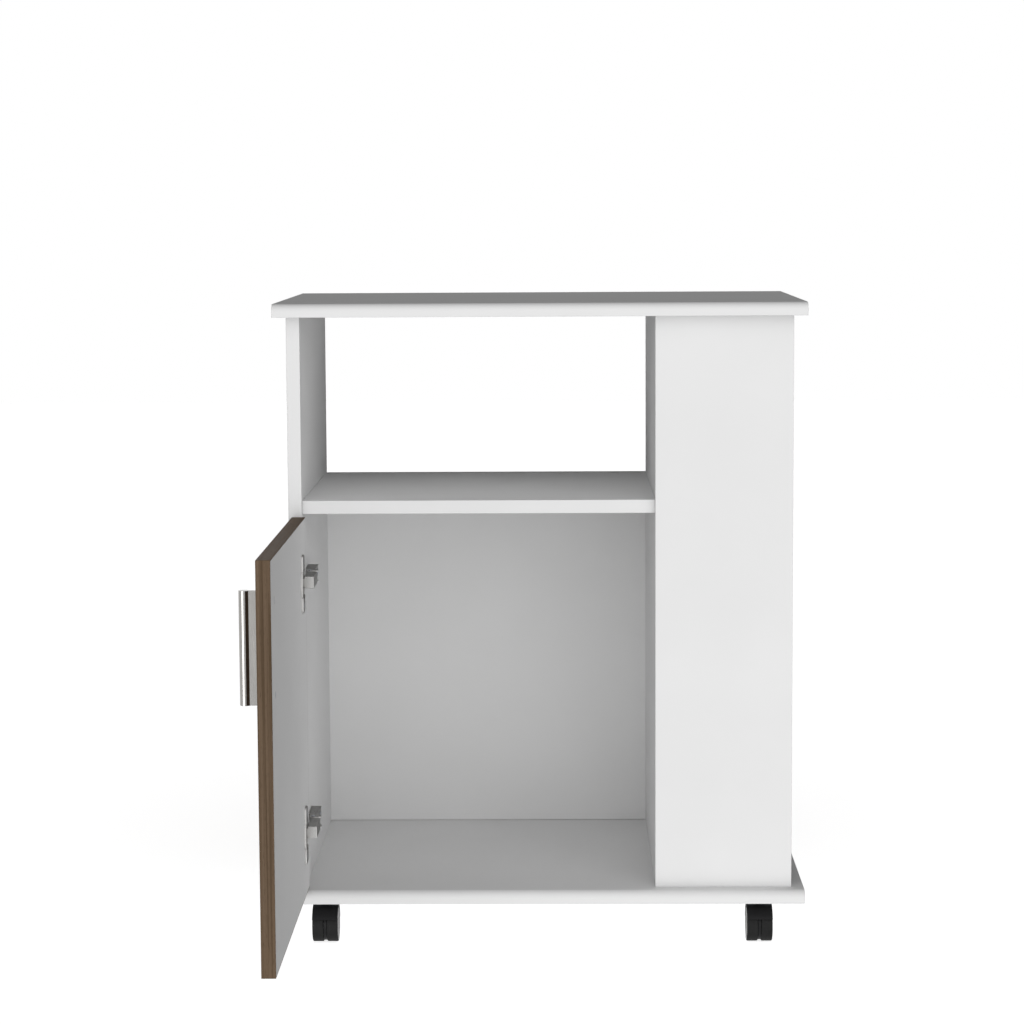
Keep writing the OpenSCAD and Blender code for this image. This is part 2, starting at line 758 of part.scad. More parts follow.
module caster_plate(i) {
    corner_r = 4;
    half = plate_w / 2 - corner_r;
    plate_z = caster_h - plate_t;
    color(steel) at_caster(i) difference() {
        union() {
            translate([-plate_w / 2, -half, plate_z]) cube([plate_w, 2 * half, plate_t]);
            translate([-half, -plate_w / 2, plate_z]) cube([2 * half, plate_w, plate_t]);
            for (x = [-half, half], y = [-half, half])
                translate([x, y, plate_z]) cylinder(r = corner_r, h = plate_t);
            translate([0, 0, plate_z - race_t]) cylinder(r1 = race_r - 2, r2 = race_r, h = race_t + eps);
            translate([0, 0, kingpin_end_z]) cylinder(r = kingpin_d / 2, h = plate_z - kingpin_end_z);
        }
        for (h = caster_hole_xy) translate([h[0], h[1], plate_z - 1])
            cylinder(r = caster_screw_d / 2 + screw_fit, h = plate_t + 2);
    }
}

// The hood: a mudguard over both wheels, a web between them and a boss on the kingpin
module caster_hood(i) {
    bore_end_z = kingpin_end_z - 0.2;
    sunk = hood_t / 2;
    color(black) at_caster(i) difference() {
        union() {
            translate([0, -caster_trail, wheel_r]) {
                mudguard();
                translate([-web_w / 2, 0, 0]) hood_web();
            }
            difference() {
                translate([0, 0, wheel_r]) cylinder(r = boss_r, h = boss_top_z - wheel_r);
                translate([-twin_w, -caster_trail, wheel_r]) rod_x(hood_in_r + sunk, 2 * twin_w);
            }
        }
        translate([0, 0, bore_end_z]) cylinder(r = kingpin_d / 2 + run_fit, h = boss_top_z);
        translate([-twin_w, -caster_trail, wheel_r]) rod_x(axle_d / 2 + run_fit, 2 * twin_w);
    }
}

// The mudguard: a shell round the axle, cut off above the floor in front and behind
module mudguard() {
    far = 3 * hood_out_r;
    difference() {
        translate([-twin_w / 2, 0, 0]) rod_x(hood_out_r, twin_w);
        translate([-twin_w, 0, 0]) rod_x(hood_in_r, 2 * twin_w);
        for (a = [hood_rear_a, -hood_front_a]) rotate([a, 0, 0])
            translate([-far / 2, -far, -far]) cube([far, 2 * far, far]);
    }
}

// The web is a disc between the wheels that runs up into the mudguard
module hood_web() {
    mid = hood_in_r + hood_t / 2;
    low = web_r / 2;
    rod_x(web_r, web_w);
    rotate([90, 0, 90]) linear_extrude(web_w) polygon([
        [-low, 0], [-mid * cos(60), mid * sin(60)], [0, mid],
        [mid * cos(50), mid * sin(50)], [mid * cos(20), mid * sin(20)], [low, 0]
    ]);
}

module caster_axle(i) {
    color(steel) at_axle(i) translate([-axle_half, 0, 0]) rod_x(axle_d / 2, 2 * axle_half);
}

// Wheel sections: local x is the radius, local y runs along the axle outwards
module tread(i, side) {
    edge = 1;
    color(black) at_axle(i) rotate([0, side * 90, 0]) rotate_extrude($fn = 96)
        translate([0, wheel_in_x]) polygon([
            [hub_r, 0], [wheel_r - edge * 0.6, 0], [wheel_r, edge * 0.6],
            [wheel_r, wheel_w - edge], [wheel_r - edge, wheel_w], [hub_r, wheel_w]
        ]);
}

module hub(i, side) {
    fit = run_fit;
    r = hub_r - fit;
    bore = axle_d / 2 + run_fit;
    bore_end = axle_half + 0.3 - wheel_in_x;
    color(grey) at_axle(i) rotate([0, side * 90, 0]) rotate_extrude($fn = 96)
        translate([0, wheel_in_x]) polygon([
            [bore, 0], [hub_sleeve_r, 0], [hub_sleeve_r, wheel_w - hub_disc_t],
            [r - hub_rim_t, wheel_w - hub_disc_t], [r - hub_rim_t, 0.4], [r, 0.4],
            [r, wheel_w], [0, wheel_w], [0, bore_end], [bore, bore_end]
        ]);
}

// ---- grouped fasteners ----

module caster_screws() {
    z0 = caster_h - plate_t;
    color(steel) place() for (c = casters, h = caster_hole_xy)
        translate([c[0] + h[0], c[1] + h[1], z0]) rotate([0, 90, 0]) {
            translate([-caster_screw_l, 0, 0]) rod_x(caster_screw_d / 2, caster_screw_l + eps);
            screw_head_x(caster_screw_head_r, caster_screw_head_h);
        }
}

module cam_locks() {
    slot = cam_d * 0.45;
    color(white) place() for (f = concat(top_cams, shelf_cams)) at_frame(f)
        translate([0, 0, -cam_set]) difference() {
            translate([board / 2 - cam_depth, 0, 0]) rod_x(cam_d / 2, cam_depth);
            cylinder(r = cam_channel_r, h = cam_d);
            for (a = [0, 90]) translate([board / 2, 0, 0]) rotate([a, 0, 0])
                translate([-1.5, -slot / 2, -0.8]) cube([3, slot, 1.6]);
        }
}

module cam_bolts() {
    neck_r = 1.8;
    head_l = 4;
    color(steel) place() for (f = concat(top_cams, shelf_cams)) at_frame(f) {
        cylinder(r = bolt_d / 2, h = bolt_thread_l);
        translate([0, 0, -cam_set + cam_d / 2 + 1]) cylinder(r = bolt_d / 2, h = cam_set - cam_d / 2 - 1 + eps);
        translate([0, 0, -cam_set + head_l]) cylinder(r = neck_r, h = cam_d / 2 - head_l + 1 + eps);
        translate([0, 0, -cam_set + 1]) cylinder(r = bolt_head_r, h = head_l - 1 + eps);
    }
}

module dowels() {
    color("tan") place()
        for (f = concat(top_dowels, base_dowels, shelf_dowels, rib_dowels)) at_frame(f) dowel(0, 0);
}

module base_screws() {
    color(steel) place() for (p = base_screws_xy) translate([p[0], p[1], base_z]) {
        cylinder(r = base_head_r, h = base_head_h - 0.4);
        cylinder(r = base_neck_r, h = board - 1);
        cylinder(r = base_screw_d / 2, h = base_screw_l);
    }
}

// Places children at each nail of the back panel, with +Z pointing forward into the boards
module nail_frames() {
    z_step = (back_h - 2 * nail_set) / (nail_n - 1);
    x_step = (back_w - 2 * nail_set) / (nail_n - 1);
    for (x = [back_x + nail_set, back_x + back_w - nail_set], k = [0 : nail_n - 2])
        translate([x, rear_y + back_t, back_z + nail_set + k * z_step]) rotate([90, 0, 0]) children();
    for (k = [0 : nail_n - 1])
        translate([back_x + nail_set + k * x_step, rear_y + back_t, back_z + back_h - nail_set])
            rotate([90, 0, 0]) children();
}

module back_panel_nails() {
    color(steel) place() nail_frames() {
        translate([0, 0, -eps]) cylinder(r = nail_r, h = nail_l + eps);
        translate([0, 0, -nail_head_t]) cylinder(r = nail_head_r, h = nail_head_t);
    }
}

module side_shelf_pins() {
    color(steel) place() for (x = shelf_pin_xs, z = side_shelf_zs, s = [-1, 1])
        translate([x, s < 0 ? bay_front_y : bay_rear_y, z - shelf_pin_d / 2]) rotate([s * -90, 0, 0])
            translate([0, 0, -shelf_pin_out])
                cylinder(r = shelf_pin_d / 2, h = shelf_pin_out + shelf_pin_hole - 1);
}

// ---- nodes ----

top_panel();
base_panel();
left_side();
divider();
front_fascia();
rear_fascia();
middle_shelf();
side_shelf(side_shelf_zs[1]);  // side_shelf_upper
side_shelf(side_shelf_zs[0]);  // side_shelf_lower
back_panel();
door_panel();
door_edge_band();
handle();
handle_screws();
hinge_cup(hinge_zs[0]);  // upper_hinge_cup
hinge_link(hinge_zs[0]);  // upper_hinge_link
hinge_arm(hinge_zs[0]);  // upper_hinge_arm
hinge_plate(hinge_zs[0]);  // upper_hinge_plate
hinge_cup(hinge_zs[1]);  // lower_hinge_cup
hinge_link(hinge_zs[1]);  // lower_hinge_link
hinge_arm(hinge_zs[1]);  // lower_hinge_arm
hinge_plate(hinge_zs[1]);  // lower_hinge_plate
hinge_pins();
hinge_cup_screws();
hinge_plate_screws();
caster_plate(0);  // front_left_caster_plate
caster_hood(0);  // front_left_caster_hood
caster_axle(0);  // front_left_caster_axle
tread(0, -1);  // front_left_tread_outer
tread(0, 1);  // front_left_tread_inner
hub(0, -1);  // front_left_hub_outer
hub(0, 1);  // front_left_hub_inner
caster_plate(1);  // front_right_caster_plate
caster_hood(1);  // front_right_caster_hood
caster_axle(1);  // front_right_caster_axle
tread(1, 1);  // front_right_tread_outer
tread(1, -1);  // front_right_tread_inner
hub(1, 1);  // front_right_hub_outer
hub(1, -1);  // front_right_hub_inner
caster_plate(2);  // rear_left_caster_plate
caster_hood(2);  // rear_left_caster_hood
caster_axle(2);  // rear_left_caster_axle
tread(2, -1);  // rear_left_tread_outer
tread(2, 1);  // rear_left_tread_inner
hub(2, -1);  // rear_left_hub_outer
hub(2, 1);  // rear_left_hub_inner
caster_plate(3);  // rear_right_caster_plate
caster_hood(3);  // rear_right_caster_hood
caster_axle(3);  // rear_right_caster_axle
tread(3, 1);  // rear_right_tread_outer
tread(3, -1);  // rear_right_tread_inner
hub(3, 1);  // rear_right_hub_outer
hub(3, -1);  // rear_right_hub_inner
caster_screws();
cam_locks();
cam_bolts();
dowels();
base_screws();
back_panel_nails();
side_shelf_pins();
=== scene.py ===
"""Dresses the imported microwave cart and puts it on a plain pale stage.

Boards get eased edges and edge banding, the door its walnut print, and the hinges, casters and
fasteners their plating and moulded faces. Lengths are in metres, apart from the millimetres of
the materials' patterns, the properties' defaults and the camera.
"""

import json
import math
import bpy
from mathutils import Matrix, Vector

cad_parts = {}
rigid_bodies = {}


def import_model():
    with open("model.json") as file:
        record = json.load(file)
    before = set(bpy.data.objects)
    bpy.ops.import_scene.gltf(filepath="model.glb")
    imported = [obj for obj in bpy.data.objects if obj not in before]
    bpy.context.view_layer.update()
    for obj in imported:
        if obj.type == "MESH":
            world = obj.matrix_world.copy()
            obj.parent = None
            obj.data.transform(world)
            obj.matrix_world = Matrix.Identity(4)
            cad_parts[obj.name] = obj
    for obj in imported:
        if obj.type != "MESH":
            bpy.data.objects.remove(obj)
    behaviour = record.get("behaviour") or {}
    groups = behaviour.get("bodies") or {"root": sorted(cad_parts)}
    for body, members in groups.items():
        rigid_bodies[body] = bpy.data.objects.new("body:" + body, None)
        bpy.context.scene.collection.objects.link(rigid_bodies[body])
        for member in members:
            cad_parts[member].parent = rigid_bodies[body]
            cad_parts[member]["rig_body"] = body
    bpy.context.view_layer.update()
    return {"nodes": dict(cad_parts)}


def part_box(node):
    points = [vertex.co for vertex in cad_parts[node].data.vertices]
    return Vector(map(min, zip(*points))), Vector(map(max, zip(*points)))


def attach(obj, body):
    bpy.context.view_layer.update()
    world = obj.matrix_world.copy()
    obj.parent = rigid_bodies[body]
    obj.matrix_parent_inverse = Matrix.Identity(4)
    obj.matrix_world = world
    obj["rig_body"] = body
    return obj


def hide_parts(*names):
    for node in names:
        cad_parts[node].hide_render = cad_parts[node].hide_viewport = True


bl_info = {
    "name": "Microwave cart",
    "version": (1, 0, 0),
    "blender": (4, 5, 0),
    "location": "3D View > Sidebar > Cart",
    "description": "Builds the visible pieces of a laminated-board cart around its packed solids",
    "category": "Object",
}

import bmesh
import bpy
from bpy.props import FloatProperty, FloatVectorProperty, PointerProperty
from bpy.types import Operator, Panel, PropertyGroup
from mathutils import Matrix, Vector

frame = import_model()

MM = 0.001
WELD = 0.002 * MM  # vertices closer than this are joined
NEAR = 0.02 * MM  # a vertex closer than this to a side of a box lies on it
SLACK = 0.1 * MM  # a face or an edge closer than this to an outline belongs to it

FLAT = math.radians(0.5)  # faces that meet at less than this become one
CREASE = math.radians(38)  # edges that turn less than this are shaded smooth
SHARP = math.radians(50)  # edges that turn more than this count as edges of the piece
FACES_OUT = 0.2  # least share of an axis in the normal of a face on that side of a box
FACES_FRONT = -0.5  # most share of Y in the normal of the back panel's front face
FACES_UP = 0.72  # least share of Z in the normal of a face on a band's top or bottom

TURN_STEPS = 96  # round a wheel
CUP_MOUTH = 18 * MM  # edges further than this from a cup's middle are its flange's outline
HUB_FIT = 0.05 * MM  # gap between a hub and its tread
AXLE_HOLE = 3.05 * MM  # radius
AXLE_SLEEVE = 6 * MM  # radius
HUB_DISC = 2 * MM  # thickness
HUB_SKIN = HUB_DISC * 0.6  # what closes the axle's hole on the outer face
HUB_STEP = 0.4 * MM  # from the tread's inner face to the hub's
RIM_SLOPE = 0.3 * MM  # from the inside of the rim to the top of its slope into the dish
CAP_CROWN = 0.1 * MM  # height
HUB_EASE = 0.25 * MM  # rounding of a hub's edges

NOISE_SPAN = {"From Min": 0.35, "From Max": 0.65}  # where nearly all values of a noise lie

WHITE = (1, 1, 1, 1)
FLOOR_HALF = 9.0  # half its width
FLOOR_PAINT = (0.8, 0.8, 0.8, 1)
FLOOR_GLOW = 0.8  # strength, for the camera and in metal only
LIGHT_FROM = (0.11, -0.99, 0.0)
LIGHT_FOCUS = 1.6  # power of the cosine that the light falls off with
LIGHT_LEVEL = 2.03  # strength in the middle
LIGHT_TRACE = 0.01  # strength from all round
CART_MIDDLE = Vector((0, 0, 0.4))
LAMPS = (  # name, place, size, watts, and True for what metal shows or False for matt faces
    ("front_left_panel", (-1.93, -3.32, 0.35), (2.0, 2.4), 52, True),
    ("rear_floor_glow", (0.0, 3.1, -1.9), (3.0, 3.0), 50, False),
    ("left_floor_glow", (-3.1, 0.5, -1.9), (3.0, 3.0), 40, False),
)
CAMERA_PLACE = (0.021309, -3.153553, 0.835318)
CAMERA_YAW, CAMERA_PITCH, CAMERA_ROLL = 0.0163318, 0.1074168, -0.0053756  # radians
CAMERA_SENSOR, CAMERA_LENS = 36, 100  # millimetres
CAMERA_REACH = 60  # clipping distance

SIDES = {"-x": (0, -1), "+x": (0, 1), "-y": (1, -1), "+y": (1, 1), "-z": (2, -1), "+z": (2, 1)}
CORNERS = ("front_left", "front_right", "rear_left", "rear_right")


def linear(code):
    """An sRGB hex colour as linear red, green and blue."""
    parts = [int(code[i:i + 2], 16) / 255 for i in (1, 3, 5)]
    return [c / 12.92 if c <= 0.04045 else ((c + 0.055) / 1.055) ** 2.4 for c in parts]


def colour(name, about, code):
    """A colour property whose default is an sRGB hex value."""
    return FloatVectorProperty(
        name=name, description=about, subtype="COLOR", min=0, max=1, default=linear(code)
    )


def length(name, about, millimetres):
    """A length property whose default is given in millimetres."""
    return FloatProperty(
        name=name, description=about, subtype="DISTANCE", unit="LENGTH", precision=5,
        min=0, default=millimetres * MM,
    )


class CartColours(PropertyGroup):
    """Colours of the cart's finishes."""

    white_film: colour("White film", "Melamine film of the boards", "#DDDDDD")
    white_band: colour("White band", "Edge banding of the boards", "#DCDCDC")
    walnut_dark: colour("Dark walnut", "Dark streaks of the walnut print", "#554637")
    walnut: colour("Walnut", "Ground colour of the walnut print", "#605041")
    walnut_light: colour("Light walnut", "Light streaks of the walnut print", "#6B5B4C")
    handle_nickel: colour("Handle nickel", "Brushed nickel of the handle", "#A3A19E")
    hinge_nickel: colour("Hinge nickel", "Nickel plate of the hinges", "#E0DFDD")
    zinc: colour("Zinc", "Zinc plate of screws, pins and caster plates", "#AEB2B8")
    nylon_black: colour("Black nylon", "Hoods of the casters", "#1B1B1C")
    tread: colour("Tread", "Treads of the wheels", "#181818")
    nylon_grey: colour("Grey nylon", "Hubs of the wheels", "#9C9C9C")
    cap: colour("Cam cap", "Caps of the cam locks", "#E4E4E2")
    chips_dark: colour("Dark chips", "Dark chips of the particle board", "#8A6A43")
    chips_light: colour("Light chips", "Light chips of the particle board", "#CDB084")
    fibre: colour("Hardboard fibre", "Raw rear face of the back panel", "#8B6B49")
    beech: colour("Beech", "Wood of the dowels", "#C79F70")


class CartSizes(PropertyGroup):
    """Sizes of the details that the dressed pieces add to the solids."""

    board_ease: length("Board edge radius", "Rounding of a board's edges", 0.6)
    band_width: length("Band thickness", "Thickness of the white edge banding", 0.5)
    nose: length("Nose depth", "Depth of the rounded front edge", 9.2)
    door_ease: length("Door edge radius", "Rounding of the door's edge banding", 0.5)
    metal_ease: length("Metal edge radius", "Rounding of bars, stampings and axles", 0.3)
    flange_ease: length("Flange edge radius", "Rounding of a hinge cup's flange", 0.95)
    link_ease: length("Link edge radius", "Rounding of a hinge's link", 0.7)
    small_ease: length("Fastener edge radius", "Rounding of screws, pins and cams", 0.15)
    nylon_ease: length("Nylon edge radius", "Rounding of the casters' hoods", 0.5)
    tread_shoulder: length("Tread shoulder", "Rounding of a tread's shoulders", 1.3)
    hub_rim: length("Hub rim", "Width of the raised ring on a hub", 1.6)
    hub_dish: length("Hub dish", "Depth of the dish in a hub's face", 0.7)
    hub_cap: length("Hub cap", "Radius of the cap in the middle of a hub", 6.5)


# ---- materials ----


def add(tree, kind, inputs=None, stops=None, **settings):
    """Adds a shader node with its settings, its input values or links, and its colour stops."""
    node = tree.nodes.new("ShaderNode" + kind)
    for name, value in settings.items():
        setattr(node, name, value)
    for name, value in (inputs or {}).items():
        if isinstance(value, bpy.types.NodeSocket):
            tree.links.new(value, node.inputs[name])
        else:
            node.inputs[name].default_value = value
    if stops:
        elements = node.color_ramp.elements
        elements[0].position, elements[-1].position = stops[0][0], stops[-1][0]
        middle = [elements.new(place) for place, _ in stops[1:-1]]
        for element, (_, tone) in zip([elements[0], *middle, elements[-1]], stops):
            element.color = (*tone, 1)
    return node


def start(name, **sockets):
    """A new material with its constant sockets set: (material, tree, shader, object coordinates)."""
    material = bpy.data.materials.new(name)
    material.use_nodes = True
    tree = material.node_tree
    shader = tree.nodes["Principled BSDF"]
    for socket, value in sockets.items():
        shader.inputs[socket.replace("_", " ")].default_value = value
    return material, tree, shader, add(tree, "TexCoord").outputs["Object"]


def stretch(tree, place, millimetres, spin=(0, 0, 0)):
    """Coordinates scaled so that one unit is so many millimetres along each axis."""
    turned = add(tree, "Mapping", {"Vector": place, "Rotation": spin}).outputs[0]
    return add(tree, "Mapping", {
        "Vector": turned, "Scale": [1 / (size * MM) for size in millimetres]
    }).outputs[0]


def speckle(tree, place, millimetres, detail=2.0, rough=0.5, distortion=0.0, spin=(0, 0, 0)):
    """Noise from 0 to 1 with features of the given size in millimetres along X, Y and Z."""
    return add(tree, "TexNoise", {
        "Vector": stretch(tree, place, millimetres, spin), "Scale": 1.0,
        "Detail": detail, "Roughness": rough, "Distortion": distortion,
    }).outputs[0]


def dents(tree, shader, layers):
    """Chains bump nodes into the shader. Each layer is (height, depth in millimetres)."""
    normal = None
    for height, depth in layers:
        inputs = {"Height": height, "Strength": 1.0, "Distance": depth * MM}
        if normal:
            inputs["Normal"] = normal
        normal = add(tree, "Bump", inputs).outputs[0]
    tree.links.new(normal, shader.inputs["Normal"])


def paint(tree, shader, noise, low, high):
    """Colours the shader from one tone to another by a noise, which seldom leaves 0.3 to 0.7."""
    ramp = add(tree, "ValToRGB", {"Fac": noise}, stops=[(0.3, low), (0.7, high)])
    tree.links.new(ramp.outputs[0], shader.inputs["Base Color"])


def roughen(tree, shader, noise, roughness, rise):
    """Spreads the shader's roughness by a noise, from 0.05 under a value to so much over it."""
    spread = add(tree, "MapRange", {
        "Value": noise, **NOISE_SPAN, "To Min": roughness - 0.05, "To Max": roughness + rise
    })
    tree.links.new(spread.outputs[0], shader.inputs["Roughness"])


def shade(colour_value, factor):
    """A colour made darker or lighter by a factor."""
    return [min(1.0, c * factor) for c in colour_value]


def film_material(name, tone, roughness):
    """Melamine film pressed on a board.

    The press plate leaves a fine pearl, and the paper under the resin is very slightly cloudy.
    The pearl is 0.4 mm on the board, and is drawn 1 mm coarse. The film is dull enough to show
    no gloss: any gloss at all whitens a worktop that is seen along its face.
    """
    material, tree, shader, place = start(name, Specular_IOR_Level=0.0)
    cloud = speckle(tree, place, (120, 120, 120), detail=3.0)
    pearl = speckle(tree, place, (1.0, 1.0, 1.0))
    wipe = speckle(tree, place, (45, 45, 45), detail=4.0, rough=0.6)
    paint(tree, shader, cloud, shade(tone, 0.975), tone)
    roughen(tree, shader, wipe, roughness, 0.06)
    dents(tree, shader, [(pearl, 0.012), (wipe, 0.05)])
    return material


def walnut_material(name, colours, spin, roughness):
    """Walnut print under melamine, or on edge banding cut from the same print.

    Walnut is told by long dark streaks 3 to 15 mm apart, a slow drift of the figure, and
    open pores that show as short dark dashes 0.3 mm wide. They are pressed into the film. The
    grain runs upwards, and spin turns it along a band that lies.
    """
    material, tree, shader, place = start(name, Specular_IOR_Level=0.03, IOR=1.15)
    drift = speckle(tree, place, (60, 60, 420), spin=spin)
    figure = speckle(tree, place, (16, 16, 520), detail=3.0, rough=0.55, distortion=0.9, spin=spin)
    streak = speckle(tree, place, (2.1, 2.1, 300), detail=3.0, rough=0.6, distortion=0.3, spin=spin)
    pores = speckle(tree, place, (0.45, 0.45, 9.0), rough=0.6, spin=spin)
    # The mean of the three, with the streaks counted twice
    mixed = add(tree, "Math", {0: streak, 1: 2.0, 2: figure}, operation="MULTIPLY_ADD").outputs[0]
    mixed = add(tree, "Math", {0: mixed, 1: drift}, operation="ADD").outputs[0]
    mixed = add(tree, "Math", {0: mixed, 1: 0.25}, operation="MULTIPLY").outputs[0]
    dark, mid, light = colours
    ramp = add(tree, "ValToRGB", {"Fac": mixed}, stops=[
        (0.38, shade(dark, 0.9)), (0.46, dark), (0.50, mid), (0.54, shade(mid, 1.1)), (0.62, light),
    ]).outputs[0]
    pore = add(tree, "MapRange", {
        "Value": pores, "From Min": 0.56, "From Max": 0.68, "To Min": 0.0, "To Max": 0.55
    }).outputs[0]
    coloured = add(tree, "Mix", {0: pore, 6: ramp, 7: (*shade(dark, 0.55), 1)}, data_type="RGBA")
    tree.links.new(coloured.outputs[2], shader.inputs["Base Color"])
    roughen(tree, shader, streak, roughness, 0.08)
    sunk = add(tree, "Math", {0: 1.0, 1: pore}, operation="SUBTRACT").outputs[0]
    dents(tree, shader, [(streak, 0.02), (sunk, 0.03)])
    return material


def metal_material(name, tone, roughness, brush, depth, patch=0.93, rim=1.0):
    """Plated metal. Below 1, rim darkens what is seen along the surface.

    Plating follows the surface under it: drawn bar keeps fine lines along its length, stamped
    sheet keeps a soft grain. Both are 0.05 mm wide, and are drawn as coarse as brush says, in
    millimetres along each axis.
    """
    material, tree, shader, place = start(name, Metallic=1.0, Specular_Tint=(rim, rim, rim, 1))
    grain = speckle(tree, place, brush, detail=3.0, rough=0.6)
    patches = speckle(tree, place, (14, 14, 14), detail=3.0)
    paint(tree, shader, patches, shade(tone, patch), tone)
    roughen(tree, shader, grain, roughness, 0.07)
    dents(tree, shader, [(grain, depth)])
    return material


def moulded_material(name, tone, roughness, grain_size=0.7, depth=0.02, dust=0.0):
    """Moulded plastic or rubber.

    The mould's eroded face gives a fine even grain with a dull sheen. It is 0.2 mm on the part,
    and is drawn 0.5 to 0.7 mm coarse. Dust greys what runs on the floor.
    """
    material, tree, shader, place = start(name, Specular_IOR_Level=0.2, IOR=1.4)
    grain = speckle(tree, place, (grain_size,) * 3)
    scuff = speckle(tree, place, (9, 9, 9), detail=5.0, rough=0.65)
    worn = [c + dust for c in shade(tone, 1.12)]
    paint(tree, shader, scuff, tone, worn)
    roughen(tree, shader, scuff, roughness, 0.08)
    dents(tree, shader, [(grain, depth)])
    return material


def chip_material(name, low, high, size, depth):
    """Raw particle board, hardboard or dowel wood.

    Pressed chips or fibres lie at random, and are dull and rough. Their size is in millimetres.
    """
    material, tree, shader, place = start(name, Specular_IOR_Level=0.2, Roughness=0.85)
    cells = add(tree, "TexVoronoi", {"Vector": stretch(tree, place, size), "Scale": 1.0})
    cell_shade = add(tree, "SeparateColor", {"Color": cells.outputs["Color"]}).outputs[0]
    fine = speckle(tree, place, [s * 0.4 for s in size], detail=3.0, rough=0.6)
    both = add(tree, "Math", {0: cell_shade, 1: fine}, operation="ADD").outputs[0]
    both = add(tree, "Math", {0: both, 1: 0.5}, operation="MULTIPLY").outputs[0]
    paint(tree, shader, both, low, high)
    dents(tree, shader, [(both, depth)])
    return material


def make_materials(colours):
    """Every finish of the cart by its short name."""
    walnuts = (colours.walnut_dark, colours.walnut, colours.walnut_light)
    upright, lying = (0, 0, 0), (math.pi / 2, 0, 0)
    return {
        "film": film_material("white_melamine_film", colours.white_film, roughness=0.46),
        "band": film_material("white_pvc_edge_band", colours.white_band, roughness=0.4),
        "walnut": walnut_material("walnut_melamine_film", walnuts, upright, roughness=0.42),
        "walnut_upright": walnut_material(
            "walnut_pvc_band_upright", walnuts, upright, roughness=0.36
        ),
        "walnut_lying": walnut_material("walnut_pvc_band_lying", walnuts, lying, roughness=0.36),
        "core": chip_material(
            "particle_board_core", colours.chips_dark, colours.chips_light,
            size=(2.2, 2.2, 0.9), depth=0.15,
        ),
        "fibre": chip_material(
            "raw_hardboard_face", shade(colours.fibre, 0.86), colours.fibre,
            size=(0.9, 0.9, 0.9), depth=0.03,
        ),
        "beech": chip_material(
            "turned_beech", shade(colours.beech, 0.8), colours.beech,
            size=(0.8, 0.8, 5.0), depth=0.04,
        ),
        "handle": metal_material(
            "brushed_nickel_bar", colours.handle_nickel,
            roughness=0.13, brush=(0.5, 0.5, 60.0), depth=0.0008,
        ),
        "hinge": metal_material(
            "nickel_plated_steel", colours.hinge_nickel,
            roughness=0.3, brush=(0.8, 0.8, 0.8), depth=0.0003, rim=0.25,
        ),
        "zinc": metal_material(
            "zinc_plated_steel", colours.zinc,
            roughness=0.36, brush=(1.2, 1.2, 1.2), depth=0.008, patch=0.8,
        ),
        "hood": moulded_material("moulded_black_nylon", colours.nylon_black, roughness=0.42),
        "tread": moulded_material(
            "moulded_black_rubber", colours.tread,
            roughness=0.62, grain_size=0.5, depth=0.03, dust=0.006,
        ),
        "hub": moulded_material("moulded_grey_nylon", colours.nylon_grey, roughness=0.44),
        "cap": moulded_material("moulded_white_nylon_cap", colours.cap, roughness=0.4),
    }


materials = {}  # filled by the operator of the finishes


# ---- meshes ----


def merged(node):
    """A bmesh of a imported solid, with its loose triangles joined and its flat faces made whole."""
    bm = bmesh.new()
    bm.from_mesh(frame["nodes"][node].data)
    bmesh.ops.remove_doubles(bm, verts=bm.verts, dist=WELD)
    bmesh.ops.dissolve_limit(
        bm, angle_limit=FLAT, use_dissolve_boundaries=False, verts=bm.verts,
        edges=bm.edges, delimit=set(),
    )
    return bm


def ease(bm, edges, radius, segments=3):
    """Rounds edges off."""
    if edges:
        bmesh.ops.bevel(
            bm, geom=edges, offset=radius, offset_type="OFFSET", segments=segments,
            profile=0.5, affect="EDGES", clamp_overlap=True, material=-1, loop_slide=True,
        )


def sharp_edges(bm):
    """The edges whose two faces meet at a sharp angle."""
    return [e for e in bm.edges if len(e.link_faces) == 2 and e.calc_face_angle(0) > SHARP]


def on_sides(point, low, high):
    """How many of a box's six sides a point lies on."""
    return sum(abs(point[i] - low[i]) < NEAR or abs(point[i] - high[i]) < NEAR for i in range(3))


def outline_edges(bm, low, high, ends=False):
    """The edges along a board's box, and with ends also the whole outline of its two X ends."""
    def at_end(vert):
        return min(abs(vert.co.x - low.x), abs(vert.co.x - high.x)) < NEAR

    return [
        e for e in sharp_edges(bm)
        if all(on_sides(v.co, low, high) >= 2 for v in e.verts)
        or (ends and all(at_end(v) for v in e.verts))
    ]


def finish(name, bm, finishes, *nodes):
    """Makes a piece of a bmesh, gives it its materials, and puts it in the place of CAD nodes."""
    for face in bm.faces:
        face.smooth = True
    for edge in bm.edges:
        edge.smooth = len(edge.link_faces) == 2 and edge.calc_face_angle(0) < CREASE
    mesh = bpy.data.meshes.new(name)
    bm.to_mesh(mesh)
    bm.free()
    for key in finishes:
        mesh.materials.append(materials[key])
    piece = bpy.data.objects.new(name, mesh)
    bpy.context.scene.collection.objects.link(piece)
    weigh = piece.modifiers.new("even_shading", "WEIGHTED_NORMAL")
    weigh.keep_sharp = True
    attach(piece, frame["nodes"][nodes[0]]["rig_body"])
    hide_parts(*nodes)


def dressed(node, name, finish_key, radius):
    """A CAD solid with its edges eased and one finish."""
    bm = merged(node)
    ease(bm, sharp_edges(bm), radius, segments=2)
    finish(name, bm, [finish_key], node)


def wall(side, low, high):
    """One side of a box: its axis, its outward sign and a corner of the box that lies on it."""
    axis, sign = SIDES[side]
    return axis, sign, high if sign > 0 else low


